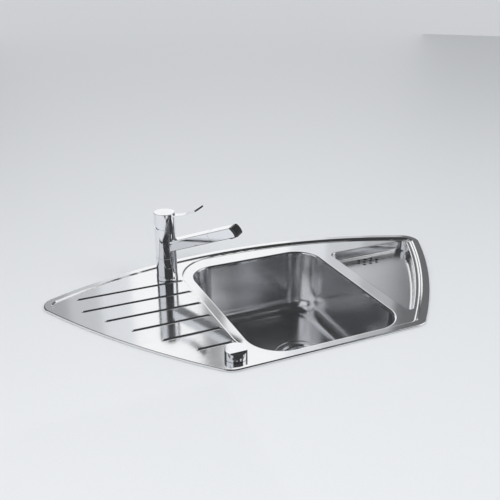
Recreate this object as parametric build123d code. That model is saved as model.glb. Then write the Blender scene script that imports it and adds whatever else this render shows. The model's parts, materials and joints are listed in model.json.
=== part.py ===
from build123d import *
import os
from math import asin, atan2, cos, degrees, hypot, radians, sin, sqrt, tan

# Corner kitchen sink: a pressed deck with a welded bowl and side tray, a single-lever tap,
# a basket waste and the knob that works it. Millimetres, +Z up. The worktop's upper face is
# z = 0, +X runs along the straight front edge, +Y points to the corner of the room, and the
# origin is on the seal's underside, under the middle of the front edge.

# Deck sheet and its levels
sheet = 1.0
rim_height = 4.0
rim_step = 2.8
bowl_step = 2.2
rim_edge_radius = 2.5
lip_gap = 0.5
collar_depth = 8.0
step_angle = 45.0

# Plan of the deck, set out round the main bowl
front_inset = 9.0
bowl_front_gap = 28.0
bowl_back_gap = 72.0
tray_gap = 34.0
front_end_gap = 11.0
tip_reach = 261.0
tip_drop = 116.0
side_bow = 20.0
front_corner_radius = 40.0
tip_radius = 40.0
rim_width = 15.5
strip_width = 1.7
crease_gap = 24.5
crease_radius = 110.0
crease_front_radius = 90.0

# Seal under the rim
seal_width = 8.0

# Drainer grooves
groove_count = 6
groove_width = 10.0
groove_depth = 2.8
groove_front_gap = 94.7
groove_tap_gap = 29.5
groove_crease_gap = 2.5
groove_end_inset = 42.0

# Main bowl
bowl_x = 24.5
bowl_length = 317.0
bowl_width = 410.0
bowl_depth = 154.0
bowl_corner_radius = 60.0
bowl_front_left_radius = 70.0
bowl_edge_radius = 4.0
bowl_draft = 2.3
bowl_foot_radius = 33.0

# Side tray
tray_back_drop = 4.0
tray_side_inset = 31.0
tray_depth = 24.0
tray_draft = 6.0
tray_back_left_radius = 20.0
tray_back_right_radius = 14.0
tray_front_radius = 8.0
tray_edge_radius = 2.5
tray_foot_radius = 7.0
tray_hole_diameter = 8.0
tray_hole_aside = 92.0
tray_hole_back_gap = 33.0
tray_hole_pitch = 17.5
tray_hole_row = 12.5
tray_hole_rows = (3, 4, 3)

# Clamps that pull the rim down on the worktop
worktop_thickness = 38.0
bracket_width = 24.0
bracket_height = 22.0
bracket_gap = 0.05
strip_steel = 1.5
clamp_width = 16.0
clamp_foot_inset = 4.0
clamp_tooth = 3.0
clamp_top_gap = 4.0
clamp_slot_length = 16.0
clamp_screw_diameter = 5.0
clamp_screw_head = 9.0
clamp_screw_head_height = 3.0
clamp_screw_tail = 2.0
back_clamp_shares = (0.1, 0.36, 0.6, 0.87)
side_clamp_shares = (0.35, 0.8)

# Basket waste of the main bowl
waste_aside = 32.5
waste_forward = 5.0
waste_hole_diameter = 90.0
waste_recess_depth = 2.2
flange_diameter = 114.0
flange_gap = 1.5
flange_edge_run = 2.0
flange_edge_drop = 0.4
flange_seal_thickness = 1.0
flange_seal_inset = 1.0
throat_gap = 1.5
seat_run = 5.0
cup_depth = 30.0
cup_slots = 8
cup_slot_width = 7.0
cup_slot_inner = 18.0
cup_slot_outer = 36.0
waste_body_wall = 3.0
waste_body_rim = 4.0
body_gasket_thickness = 2.0
body_gasket_width = 7.0
waste_body_depth = 66.0
waste_body_taper = 14.0
waste_body_gap = 2.0
outlet_diameter = 47.8
outlet_bore = 40.0
outlet_length = 26.0
waste_screw_offset = 12.0
waste_screw_diameter = 5.0
waste_screw_head = 8.5
waste_screw_head_height = 2.5
waste_screw_length = 7.0
waste_screw_play = 0.2

# Basket plug, its lift pin and the lever under it
basket_top_diameter = 76.0
basket_floor_diameter = 60.0
basket_depth = 20.0
basket_sheet = 1.0
basket_seat_drop = 4.0
basket_flange_width = 3.0
basket_ring_radii = (11.0, 18.5, 26.0)
basket_ring_counts = (6, 12, 16)
basket_hole_diameter = 4.0
basket_grip_diameter = 10.0
basket_grip_neck = 6.0
basket_grip_height = 15.0
basket_grip_head = 3.5
basket_grip_bevel = 1.5
plug_seal_thickness = 2.5
seat_clearance = 0.3
lift_pin_diameter = 5.0
lift_pin_play = 0.5
lift_arm = 20.0
lift_arm_thickness = 4.0
lift_shaft_diameter = 6.0
lift_angle = 30.0
lift_heading = 180.0
lift_clearance = 1.5
bridge_height = 6.0
bridge_width = 14.0
lift_drum_diameter = 24.0
drive_box_gap = 2.0
drive_box_wall = 2.0
drive_box_clearance = 1.0
gland_diameter = 8.0
gland_bore = 4.0
gland_length = 10.0

# Outlet of the side tray and the overflow pipe
cup_inner_length = 70.0
cup_inner_width = 41.0
cup_corner_radius = 12.0
cup_wall = 2.5
tray_cup_depth = 22.0
tray_gasket_thickness = 1.5
stud_diameter = 5.0
stud_offset = 44.0
stud_length = 14.0
lug_diameter = 16.0
lug_thickness = 4.0
stud_nut_diameter = 9.0
stud_nut_height = 4.0
pipe_diameter = 20.0
pipe_wall = 1.6
pipe_bend_radius = 38.0
pipe_entry = 12.0
socket_wall = 2.5
socket_length = 20.0
pipe_nut_diameter = 34.0
pipe_nut_height = 15.0
pipe_nut_lip = 5.0
pipe_nut_ribs = 12
inlet_drop = 30.0

# Waste control knob
knob_crease_gap = 20.2
knob_front_gap = 43.4
deck_hole_diameter = 35.0
knob_diameter = 42.0
knob_height = 18.0
knob_gap = 0.5
knob_wall = 1.8
knob_top = 5.0
knob_flat_chord = 13.0
knob_flat_step = 2.0
knob_flat_drop = 2.2
knob_slit_width = 1.2
knob_slit_depth = 0.8
knob_slit_length = 11.0
knob_seal_thickness = 0.8
housing_flange_diameter = 37.6
housing_flange = 2.0
housing_tube_diameter = 33.6
housing_tube_wall = 2.5
housing_length = 42.0
housing_deck = 4.0
spindle_diameter = 10.0
running_gap = 0.05
cable_drum_diameter = 24.0
cable_drum_height = 7.0
cable_drum_gap = 6.0
housing_nut_diameter = 46.0
housing_nut_height = 7.0
housing_cap_thickness = 3.0
spindle_clip_diameter = 16.0
spindle_clip_thickness = 1.2
knob_hub_diameter = 16.0
knob_hub_depth = 8.0
knob_gland_reach = 12.0
knob_gland_heading = 60.0

# Tap: the standing parts
tap_crease_gap = 28.5
tap_back_gap = 94.0
tap_diameter = 46.0
tap_base_diameter = 47.6
tap_base_height = 9.0
tap_base_edge_radius = 0.8
tap_seal_thickness = 0.8
tap_seal_inset = 1.0
swivel_seam_z = 55.0
cap_seam_z = 124.0
cap_top_z = 158.0
seam_gap = 0.8
column_diameter = 41.0
column_bore = 33.0
cartridge_floor_z = 98.0
cartridge_diameter = 35.0
cartridge_height = 16.0
cartridge_nut_height = 4.0
cartridge_nut_bore = 24.0
body_floor = 5.0
shank_diameter = 33.0
shank_length = 33.0
shank_grip = 14.0
hose_bore = 15.0
hose_bore_offset = 7.0
inlet_thread = 9.0
inlet_depth = 15.0
inlet_socket_diameter = 11.6
inlet_bore = 4.5
inlet_spread = 7.0
inlet_offset = 8.0
stabiliser_thickness = 5.0
stabiliser_front = 50.0
stabiliser_back = 44.0
stabiliser_length = 60.0
stabiliser_corner_radius = 8.0
stabiliser_relief = 0.3
tap_washer_diameter = 52.0
tap_washer_thickness = 2.0
tap_nut_across = 41.0
tap_nut_height = 9.0

# Tap: spout and pull-out spray head
spout_azimuth = -45.0
spout_rise = 19.9
spout_axis_z = 77.5
spout_width = 30.0
spout_height = 22.4
spout_edge_radius = 2.2
spout_seam = 117.5
spout_swing = 70.0
nose_top = 170.0
nose_bottom = 177.6
nose_bow = 2.4
nose_thickness = 6.0
bush_length = 22.0
bush_wall = 2.0
stem_diameter = 15.0
stem_length = 25.0
hose_diameter = 13.0
hose_wall = 2.5
hose_start = 5.0
window_height = 28.0
aerator_diameter = 18.0
aerator_along = 167.0
aerator_out = 2.5
aerator_depth = 8.0
aerator_bore = 14.0
aerator_recess = 1.0
water_way = 9.0
ring_thickness = 0.6
slide_ring_height = 6.0
slide_ring_inset = 0.5
slide_ring_drop = 2.0

# Tap: lever
pivot_z = 120.0
lever_lift = 20.0
dome_radius = 20.2
dome_wall = 1.6
dome_top_z = 135.5
cap_clearance = 0.4
cap_edge_radius = 1.0
cap_relief_start = 2.0
cap_relief_play = 1.0
heel_radius = 17.5
heel_drop = 1.0
carrier_diameter = 23.0
carrier_bore = 11.6
carrier_height = 9.5
ball_diameter = 11.0
neck_diameter = 8.0
neck_top_z = 150.0
lever_pin_diameter = 4.0
lever_pin_length = 21.0
lever_root = 10.0
lever_straight = 16.0
lever_root_z = 151.8
lever_root_slope = 6.0
lever_radius = 117.0
lever_sweep = 34.0
lever_tip_sweep = 7.3
lever_thickness = 3.0
lever_width = 16.0
lever_tip_extra = 0.6
set_screw_diameter = 5.0
set_screw_length = 8.0
set_screw_z = 145.5

# Worked out from the values above. Cuts run past a face by past.
past = 1.0
front_y = -front_inset
bowl_y = front_y + bowl_front_gap + bowl_width / 2
back_y = front_y + bowl_front_gap + bowl_width + bowl_back_gap
crease_x = bowl_x - bowl_length / 2 - crease_gap
tray_left_x = bowl_x + bowl_length / 2 + tray_gap
front_half = tray_left_x - front_end_gap
tip_x = tray_left_x + tip_reach
tip_y = back_y - tip_drop
tray_back_y = tip_y - tray_back_drop
cup = (tray_left_x + tray_hole_aside, tray_back_y - tray_hole_back_gap)
waste = (bowl_x + waste_aside, bowl_y - waste_forward)
knob = (crease_x - knob_crease_gap, front_y + knob_front_gap)
tap = (crease_x - tap_crease_gap, back_y - tap_back_gap)
groove_first_y = front_y + groove_front_gap
groove_pitch = (tap[1] - groove_tap_gap - groove_first_y) / (groove_count - 1)
groove_right_x = crease_x - groove_crease_gap
drainer_z = rim_height - rim_step
bowl_z = drainer_z - bowl_step
weld_z = bowl_z - collar_depth
bend_shift = tan(radians(step_angle / 2))
step_run = 1 / tan(radians(step_angle))
strip_inset = rim_width + rim_step * step_run + strip_width
bowl_floor_z = bowl_z - bowl_depth
tray_floor_z = bowl_z - tray_depth
deck_under_z = drainer_z - sheet


# Helpers
def disc(radius, low, high, at=(0, 0)):
    return Pos(at[0], at[1], (low + high) / 2) * Cylinder(radius, high - low)


def ring(outer, inner, low, high, at=(0, 0)):
    return disc(outer, low, high, at) - disc(inner, low - past, high + past, at)


def prism(face, low, high):
    return Pos(0, 0, low) * extrude(face, high - low, dir=(0, 0, 1))


def between(lower_face, low, upper_face, high):
    return loft([Pos(0, 0, low) * lower_face, Pos(0, 0, high) * upper_face], ruled=True)


def grown(face, amount):
    return offset(face, amount) if abs(amount) > 1e-6 else face


def bowed(start, end, bow):
    """Arc from start to end that stands out to the right of its chord by bow."""
    run = hypot(end[0] - start[0], end[1] - start[1])
    side = ((end[1] - start[1]) / run, (start[0] - end[0]) / run)
    middle = ((start[0] + end[0]) / 2 + side[0] * bow, (start[1] + end[1]) / 2 + side[1] * bow)
    return ThreePointArc(start, middle, end)


def edges_at(shape, level, face, margin=1.0):
    """Edges in the plane z = level whose middles lie within the plan box of face."""
    box = face.bounding_box()
    flat = shape.edges().filter_by_position(Axis.Z, level - 0.01, level + 0.01)
    return [
        edge
        for edge in flat
        if box.min.X - margin < edge.center().X < box.max.X + margin
        and box.min.Y - margin < edge.center().Y < box.max.Y + margin
    ]


# Plans
def outline_edges():
    front = Line((-front_half, front_y), (front_half, front_y))
    right = bowed((front_half, front_y), (tip_x, tip_y), side_bow)
    back = ThreePointArc((tip_x, tip_y), (0, back_y), (-tip_x, tip_y))
    left = bowed((-tip_x, tip_y), (-front_half, front_y), side_bow)
    return front, right, back, left


def sharp_outline_face():
    face = make_face(Curve() + list(outline_edges()))
    corners = face.vertices().sort_by(Axis.Y)
    return fillet(corners[:2], front_corner_radius)


def outline_face():
    face = sharp_outline_face()
    tips = [v for v in face.vertices() if abs(abs(v.X) - tip_x) < 0.01]
    return fillet(tips, tip_radius)


outline = outline_face()


def bowl_zone_face():
    inner = grown(outline, -strip_inset)
    high = back_y - front_y
    right_part = Pos(crease_x + tip_x, front_y + high / 2) * Rectangle(2 * tip_x, 2 * high)
    zone = inner & right_part
    ends = [v for v in zone.vertices() if abs(v.X - crease_x) < 0.01]
    ends = sorted(ends, key=lambda v: v.Y)
    zone = fillet([ends[-1]], crease_radius)
    front_end = [v for v in zone.vertices() if abs(v.X - crease_x) < 0.01]
    front_end = sorted(front_end, key=lambda v: v.Y)
    return fillet([front_end[0]], crease_front_radius)


def main_bowl_face():
    face = Pos(bowl_x, bowl_y) * Rectangle(bowl_length, bowl_width)
    corners = face.vertices().sort_by(Axis.Y)
    front_left = sorted(corners[:2], key=lambda v: v.X)[0]
    others = [v for v in corners if v is not front_left]
    face = fillet(others, bowl_corner_radius)
    sharp = [
        v
        for v in face.vertices()
        if abs(v.X - (bowl_x - bowl_length / 2)) < 0.01
        and abs(v.Y - (bowl_y - bowl_width / 2)) < 0.01
    ]
    return fillet(sharp, bowl_front_left_radius)


def tray_face():
    inner = grown(sharp_outline_face(), -tray_side_inset)
    high = tray_back_y - front_y
    right_part = Pos(tray_left_x + tip_x / 2, tray_back_y - high / 2) * Rectangle(tip_x, high)
    face = inner & right_part
    left = sorted((v for v in face.vertices() if abs(v.X - tray_left_x) < 0.01), key=lambda v: v.Y)
    face = fillet([left[-1]], tray_back_left_radius)
    face = fillet([min(face.vertices(), key=lambda v: v.Y)], tray_front_radius)
    face = fillet([max(face.vertices(), key=lambda v: v.X)], tray_back_right_radius)
    back = [v for v in face.vertices() if abs(v.Y - tray_back_y) < 0.01]
    return fillet([max(back, key=lambda v: v.X)], tray_back_left_radius)


bowl_zone = bowl_zone_face()
main_bowl_plan = main_bowl_face()
tray_plan = tray_face()


# Bowl and tray: forms that the deck's collars share
def basin_form(plan, floor, draft, foot_radius, grow):
    depth = bowl_z - floor + grow
    foot = grown(plan, grow - depth * tan(radians(draft)))
    form = between(foot, floor - grow, grown(plan, grow), bowl_z)
    return fillet(edges_at(form, floor - grow, plan), foot_radius + grow)


def main_bowl_form(grow):
    return basin_form(main_bowl_plan, bowl_floor_z, bowl_draft, bowl_foot_radius, grow)


def tray_form(grow):
    return basin_form(tray_plan, tray_floor_z, tray_draft, tray_foot_radius, grow)


# Deck
def groove_ends():
    """The left end of each groove lies on the outline drawn inwards by groove_end_inset."""
    limit = grown(outline, -groove_end_inset)
    rows = []
    for index in range(groove_count):
        y = groove_first_y + index * groove_pitch
        cut = limit & (Pos(-tip_x / 2, y) * Rectangle(tip_x, 0.01))
        rows.append((cut.bounding_box().min.X, y))
    return rows


grooves = groove_ends()
groove_round = (groove_width**2 / 4 + groove_depth**2) / (2 * groove_depth)


def groove_form(left_x, y, grow):
    radius = groove_round + grow
    centre_z = drainer_z - groove_depth + groove_round
    half_chord = groove_width / 2
    start = left_x + half_chord
    end = groove_right_x - half_chord
    rod = Pos((start + end) / 2, y, centre_z) * Rot(0, 90, 0) * Cylinder(radius, end - start)
    return rod + Pos(start, y, centre_z) * Sphere(radius) + Pos(end, y, centre_z) * Sphere(radius)


def deck_form(inset):
    """Solid under the deck's skin, with the skin moved inwards by inset."""
    shift = inset * bend_shift
    top = rim_height - inset
    middle = drainer_z - inset
    low = bowl_z - inset
    body = grown(outline, -inset)
    form = prism(body, weld_z - inset, top)
    form = fillet(edges_at(form, top, body), rim_edge_radius - inset)
    rim_inner = rim_width - shift
    form -= between(
        grown(outline, -rim_inner - rim_step * step_run), middle, grown(outline, -rim_inner), top
    )
    form -= between(grown(bowl_zone, shift - bowl_step * step_run), low, grown(bowl_zone, shift), middle)
    form -= main_bowl_form(inset)
    form -= tray_form(inset)
    form = fillet(edges_at(form, low, grown(main_bowl_plan, inset)), bowl_edge_radius - inset)
    form = fillet(edges_at(form, low, grown(tray_plan, inset)), tray_edge_radius - inset)
    for left_x, y in grooves:
        form -= groove_form(left_x, y, inset)
    return form


def sink_deck():
    deck = deck_form(0) - deck_form(sheet)
    lip_end = prism(grown(outline, past) - grown(outline, -3 * sheet), weld_z - 2 * sheet, lip_gap)
    deck -= lip_end
    for at in (tap, knob):
        deck -= disc(deck_hole_diameter / 2, weld_z, rim_height, at)
    return deck


def rim_seal():
    middle = front_inset
    outer = grown(outline, -(middle - seal_width / 2))
    inner = grown(outline, -(middle + seal_width / 2))
    return prism(outer - inner, 0, rim_height - sheet)


# Bowl, its waste recess and the tray
def waste_recess(grow):
    upper = flange_diameter / 2 + flange_gap + grow * bend_shift
    lower = upper - waste_recess_depth
    low = bowl_floor_z - grow - waste_recess_depth
    return Pos(*waste, low + waste_recess_depth / 2) * Cone(lower, upper, waste_recess_depth)


recess_z = bowl_floor_z - waste_recess_depth
recess_under_z = recess_z - sheet


def below_weld(form):
    return form - prism(grown(outline, past), weld_z, rim_height)


def main_bowl():
    inside = main_bowl_form(0) + waste_recess(0)
    outside = below_weld(main_bowl_form(sheet)) + waste_recess(sheet)
    bowl = outside - inside
    return bowl - disc(waste_hole_diameter / 2, recess_under_z - past, recess_z + past, waste)


def tray_holes():
    points = []
    for row, count in enumerate(tray_hole_rows):
        y = cup[1] + (1 - row) * tray_hole_row
        for column in range(count):
            x = cup[0] + (column - (count - 1) / 2) * tray_hole_pitch
            points.append((x, y))
    return points


tray_under_z = tray_floor_z - sheet
stud_points = [(cup[0] + side * stud_offset, cup[1]) for side in (-1, 1)]


def side_tray():
    tray = below_weld(tray_form(sheet)) - tray_form(0)
    for at in tray_holes():
        tray -= disc(tray_hole_diameter / 2, tray_under_z - past, tray_floor_z + past, at)
    for at in stud_points:
        tray += disc(stud_diameter / 2, tray_under_z - stud_length, tray_under_z, at)
    return tray


# Clamps
def clamp_places():
    """Where each clamp stands: a frame with x along the rim and y outwards."""
    front, right, back, left = outline_edges()
    shares = [(back, share) for share in back_clamp_shares]
    shares += [(side, share) for side in (right, left) for share in side_clamp_shares]
    places = []
    for edge, share in shares:
        point = edge.position_at(share)
        along = edge.tangent_at(share)
        places.append(Pos(point.X, point.Y, 0) * Rot(0, 0, degrees(atan2(along.Y, along.X)) + 180))
    return places


bracket_outer = rim_width + rim_step * step_run - bend_shift * sheet + bracket_gap
bracket_inner = bracket_outer + strip_steel
clamp_inner = bracket_inner + strip_steel
clamp_screw_z = -bracket_height / 2
clamp_low_z = -worktop_thickness - strip_steel


def bracket():
    plate = Pos(0, -(bracket_outer + bracket_inner) / 2, deck_under_z - bracket_height / 2) * Box(
        bracket_width, strip_steel, bracket_height
    )
    hole = Cylinder(clamp_screw_diameter / 2, 4 * strip_steel)
    return plate - Pos(0, -bracket_inner, clamp_screw_z) * Rot(90, 0, 0) * hole


def clamp_arm():
    leg_top = deck_under_z - clamp_top_gap
    profile = Polyline(
        (-bracket_inner, leg_top),
        (-clamp_inner, leg_top),
        (-clamp_inner, clamp_low_z),
        (-clamp_foot_inset, clamp_low_z),
        (-clamp_foot_inset, -worktop_thickness + clamp_tooth),
        (-clamp_foot_inset - strip_steel, -worktop_thickness + clamp_tooth),
        (-clamp_foot_inset - strip_steel, -worktop_thickness),
        (-bracket_inner, -worktop_thickness),
        close=True,
    )
    arm = extrude(Plane.YZ * make_face(profile), clamp_width / 2, both=True)
    slot_face = Plane.XZ * SlotOverall(clamp_slot_length, clamp_screw_diameter, rotation=90)
    slot = Pos(0, 0, clamp_screw_z) * extrude(slot_face, 2 * clamp_inner, both=True)
    return arm - slot


def clamp_screw():
    tail = bracket_outer - clamp_screw_tail
    shank = Pos(0, 0, (clamp_inner + tail) / 2) * Cylinder(clamp_screw_diameter / 2, clamp_inner - tail)
    head = Cylinder(clamp_screw_head / 2, clamp_screw_head_height)
    screw = shank + Pos(0, 0, clamp_inner + clamp_screw_head_height / 2) * head
    return Pos(0, 0, clamp_screw_z) * Rot(90, 0, 0) * screw


def around_rim(piece):
    return Compound(children=[place * piece for place in clamp_places()])


# Basket waste. The bowl's floor is clamped between the flange and the body.
seal_top_z = recess_z + flange_seal_thickness
flange_top_z = seal_top_z + sheet
throat = basket_top_diameter / 2 + throat_gap
cup_floor_z = flange_top_z - cup_depth
gasket_low_z = recess_under_z - body_gasket_thickness
body_rim_low_z = gasket_low_z - waste_body_rim
body_inner_radius = waste_hole_diameter / 2 + waste_body_gap
body_low_z = gasket_low_z - waste_body_depth
taper_top_z = body_low_z + waste_body_taper
basket_seat_z = flange_top_z - basket_seat_drop
seat_low_z = basket_seat_z - plug_seal_thickness
basket_bottom_z = basket_seat_z - basket_depth
bridge_top_z = cup_floor_z - sheet
bridge_low_z = bridge_top_z - bridge_height
arm_swing = lift_arm * sin(radians(lift_angle)) + lift_arm_thickness / 2
lift_axis_z = bridge_low_z - arm_swing - lift_clearance


def turned(points, at):
    """Solid of revolution about the upright axis at a plan point, from radius and height pairs."""
    face = make_face(Polyline(*points, close=True))
    return Pos(at[0], at[1], 0) * revolve(Plane.XZ * face, Axis.Z)


def waste_flange():
    rim = flange_diameter / 2
    seat = throat + seat_run
    upper = [
        (rim, flange_top_z - flange_edge_drop),
        (rim - flange_edge_run, flange_top_z),
        (seat, flange_top_z),
        (throat, seat_low_z),
        (throat, cup_floor_z),
        (0, cup_floor_z),
    ]
    lower = [
        (0, cup_floor_z - sheet),
        (throat + sheet, cup_floor_z - sheet),
        (throat + sheet, seat_low_z - 0.4 * sheet),
        (seat - 0.2 * sheet, flange_top_z - sheet),
        (rim, flange_top_z - sheet),
    ]
    flange = turned(upper + lower, waste)
    slot_length = cup_slot_outer - cup_slot_inner
    for index in range(cup_slots):
        middle = (cup_slot_inner + cup_slot_outer) / 2
        slot = Rot(0, 0, (index + 0.5) * 360 / cup_slots) * Pos(middle, 0) * SlotOverall(
            slot_length, cup_slot_width
        )
        flange -= Pos(*waste, 0) * prism(slot, bridge_top_z - past, cup_floor_z + past)
    holes = [(waste, lift_pin_diameter / 2 + lift_pin_play)]
    holes += [(at, waste_screw_diameter / 2 + waste_screw_play) for at in waste_screw_points()]
    for at, radius in holes:
        flange -= disc(radius, bridge_top_z - past, cup_floor_z + past, at)
    return flange


def waste_screw_points():
    return [(waste[0] + side * waste_screw_offset, waste[1]) for side in (-1, 1)]


def flange_seal():
    outer = flange_diameter / 2 - flange_seal_inset
    return ring(outer, waste_hole_diameter / 2, recess_z, seal_top_z, waste)


def body_gasket():
    outer = body_inner_radius + body_gasket_width
    return ring(outer, body_inner_radius, gasket_low_z, recess_under_z, waste)


inlet_heading = degrees(atan2(cup[1] - waste[1], cup[0] - waste[0]))
inlet_z = gasket_low_z - inlet_drop
socket_radius = pipe_diameter / 2 + socket_wall
socket_end = body_inner_radius + socket_length
body_outer_radius = body_inner_radius + waste_body_wall
body_root_radius = body_inner_radius + waste_body_wall / 6
drum_radius = lift_drum_diameter / 2
drive_inner_radius = drum_radius + drive_box_clearance
drive_outer_radius = drive_inner_radius + drive_box_wall
drive_start = body_outer_radius + drive_box_gap
drive_end = drive_start + gland_diameter
lift_drum_thickness = gland_diameter - 2 * drive_box_clearance


def sideways(radius, start, end, heading, level, aside=0):
    """Rod that lies outwards from the waste's axis, from start to end along heading."""
    rod = Pos((start + end) / 2, aside, level) * Rot(0, 90, 0) * Cylinder(radius, end - start)
    return Pos(*waste, 0) * Rot(0, 0, heading) * rod


def lift_rod(radius, start, end):
    return sideways(radius, start, end, lift_heading, lift_axis_z, lift_arm)


def shaft_bearing():
    """Boss on the body's wall that the lift shaft turns in; its flange carries the cable drum's box."""
    boss = lift_rod(drive_outer_radius, sqrt(body_inner_radius**2 - lift_arm**2), drive_start)
    return boss - disc(body_root_radius, body_low_z, gasket_low_z, waste)


def waste_body():
    outer = body_outer_radius
    inner = body_inner_radius
    rim = inner + body_gasket_width
    shell = turned(
        [
            (rim, gasket_low_z),
            (inner, gasket_low_z),
            (inner, taper_top_z),
            (outer, taper_top_z),
            (outer, body_rim_low_z),
            (rim, body_rim_low_z),
        ],
        waste,
    )
    shell += sideways(socket_radius, body_root_radius, socket_end, inlet_heading, inlet_z)
    shell -= sideways(pipe_diameter / 2, socket_end - pipe_entry, socket_end + past, inlet_heading, inlet_z)
    shell -= sideways(pipe_diameter / 2 - pipe_wall, inner / 2, socket_end, inlet_heading, inlet_z)
    # The bridge under the cup takes the screws and guides the lift pin.
    bridge = Pos(*waste, (bridge_top_z + bridge_low_z) / 2) * Box(2 * outer, bridge_width, bridge_height)
    bridge &= disc(body_root_radius, bridge_low_z - past, bridge_top_z + past, waste)
    holes = [(waste, lift_pin_diameter / 2 + running_gap)]
    holes += [(at, waste_screw_diameter / 2) for at in waste_screw_points()]
    for at, radius in holes:
        bridge -= disc(radius, bridge_low_z - past, bridge_top_z + past, at)
    shell += bridge
    shell += shaft_bearing()
    return shell - lift_rod(lift_shaft_diameter / 2 + running_gap, 0, drive_end)


def waste_outlet():
    """Tapered bottom with the outlet, a moulding of its own that is welded to the body's wall."""
    mouth = outlet_diameter / 2
    bore = outlet_bore / 2
    sunk = 0.7 * waste_body_wall
    outlet = turned(
        [
            (body_inner_radius, taper_top_z),
            (bore, body_low_z),
            (bore, body_low_z - outlet_length),
            (mouth, body_low_z - outlet_length),
            (mouth, body_low_z - sunk),
            (body_outer_radius, taper_top_z - sunk),
            (body_outer_radius, taper_top_z),
        ],
        waste,
    )
    return outlet - shaft_bearing()


def waste_screws():
    pieces = []
    for at in waste_screw_points():
        head = disc(waste_screw_head / 2, cup_floor_z, cup_floor_z + waste_screw_head_height, at)
        shank = disc(waste_screw_diameter / 2, cup_floor_z - waste_screw_length, cup_floor_z, at)
        pieces.append(head + shank)
    return Compound(children=pieces)


# Basket plug. Its seal closes on the flange's conical seat, and the pin lifts it.
def seat_radius(level):
    """Radius of the flange's conical seat at a height."""
    return throat + seat_run * (level - seat_low_z) / (flange_top_z - seat_low_z)


def basket_plug():
    top = basket_top_diameter / 2
    wall_top = top - basket_flange_width
    floor = basket_floor_diameter / 2
    high = basket_seat_z + basket_sheet
    low = basket_bottom_z + basket_sheet
    grip = basket_grip_diameter / 2
    neck = basket_grip_neck / 2
    grip_top = low + basket_grip_height
    grip_low = grip_top - basket_grip_head
    basket = turned(
        [
            (0, basket_bottom_z),
            (floor, basket_bottom_z),
            (wall_top, basket_seat_z),
            (top, basket_seat_z),
            (top, high),
            (wall_top - basket_sheet, high),
            (floor - basket_sheet, low),
            (neck, low),
            (neck, grip_low - basket_grip_bevel),
            (grip, grip_low),
            (grip, grip_top),
            (0, grip_top),
        ],
        waste,
    )
    for radius, count in zip(basket_ring_radii, basket_ring_counts):
        for index in range(count):
            turn = radians(index * 360 / count)
            at = (waste[0] + radius * cos(turn), waste[1] + radius * sin(turn))
            basket -= disc(basket_hole_diameter / 2, basket_bottom_z - past, low + past, at)
    return basket


def plug_seal():
    inner = basket_top_diameter / 2 - basket_flange_width
    return turned(
        [
            (inner, seat_low_z),
            (seat_radius(seat_low_z) - seat_clearance, seat_low_z),
            (seat_radius(basket_seat_z) - seat_clearance, basket_seat_z),
            (inner, basket_seat_z),
        ],
        waste,
    )


def lift_pin():
    low = lift_axis_z + lift_arm_thickness / 2 + seat_clearance
    return disc(lift_pin_diameter / 2, low, basket_bottom_z, waste)


def lift_lever():
    """Shaft with the arm under the pin and the drum that the cable turns."""
    half = lift_arm_thickness / 2
    shaft = lift_rod(lift_shaft_diameter / 2, -half, drive_end - drive_box_clearance)
    drum_low = drive_start + drive_box_clearance
    shaft += lift_rod(drum_radius, drum_low, drum_low + lift_drum_thickness)
    arm = Box(2 * half, lift_arm, 2 * half)
    arm = Pos(0, lift_arm / 2, lift_axis_z) * arm
    arm += Pos(0, 0, lift_axis_z) * Rot(0, 90, 0) * Cylinder(half, 2 * half)
    return shaft + Pos(*waste, 0) * Rot(0, 0, lift_heading) * arm


def drive_gland(radius, high):
    """Upright rod through the side of the drum's box, where the cable comes in."""
    aside = lift_arm + drum_radius - drive_box_clearance
    rod = Pos((drive_start + drive_end) / 2, aside, lift_axis_z + high / 2) * Cylinder(radius, high)
    return Pos(*waste, 0) * Rot(0, 0, lift_heading) * rod


def drive_box():
    high = drive_outer_radius + gland_length
    box = lift_rod(drive_outer_radius, drive_start, drive_end + drive_box_wall)
    box += drive_gland(gland_diameter / 2, high)
    box -= lift_rod(drive_inner_radius, drive_start - past, drive_end)
    return box - drive_gland(gland_bore / 2, high + past)


# Outlet of the side tray and the overflow pipe to the waste
tray_cup_top_z = tray_under_z - tray_gasket_thickness
tray_cup_low_z = tray_cup_top_z - tray_cup_depth
tray_socket_low_z = tray_cup_low_z - socket_length


def cup_plan(wall):
    return Pos(*cup) * RectangleRounded(
        cup_inner_length + 2 * wall, cup_inner_width + 2 * wall, cup_corner_radius + wall
    )


def tray_cup_gasket():
    return prism(cup_plan(cup_wall) - cup_plan(0), tray_cup_top_z, tray_under_z)


def tray_cup():
    body = prism(cup_plan(cup_wall), tray_cup_low_z, tray_cup_top_z)
    body += disc(socket_radius, tray_socket_low_z, tray_cup_low_z, cup)
    for at in stud_points:
        lug = disc(lug_diameter / 2, tray_cup_top_z - lug_thickness, tray_cup_top_z, at)
        body += lug
        body -= disc(stud_diameter / 2 + running_gap, tray_cup_low_z, tray_cup_top_z + past, at)
    body -= prism(cup_plan(0), tray_cup_low_z + cup_wall, tray_cup_top_z + past)
    body -= disc(pipe_diameter / 2 - pipe_wall, tray_socket_low_z, tray_cup_top_z, cup)
    return body - disc(pipe_diameter / 2, tray_socket_low_z - past, tray_socket_low_z + pipe_entry, cup)


def stud_nuts():
    top = tray_cup_top_z - lug_thickness
    pieces = []
    for at in stud_points:
        hexagon = Pos(*at) * RegularPolygon(stud_nut_diameter / 2, 6)
        nut = prism(hexagon, top - stud_nut_height, top)
        pieces.append(nut - disc(stud_diameter / 2, top - stud_length, top + past, at))
    return Compound(children=pieces)


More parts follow.
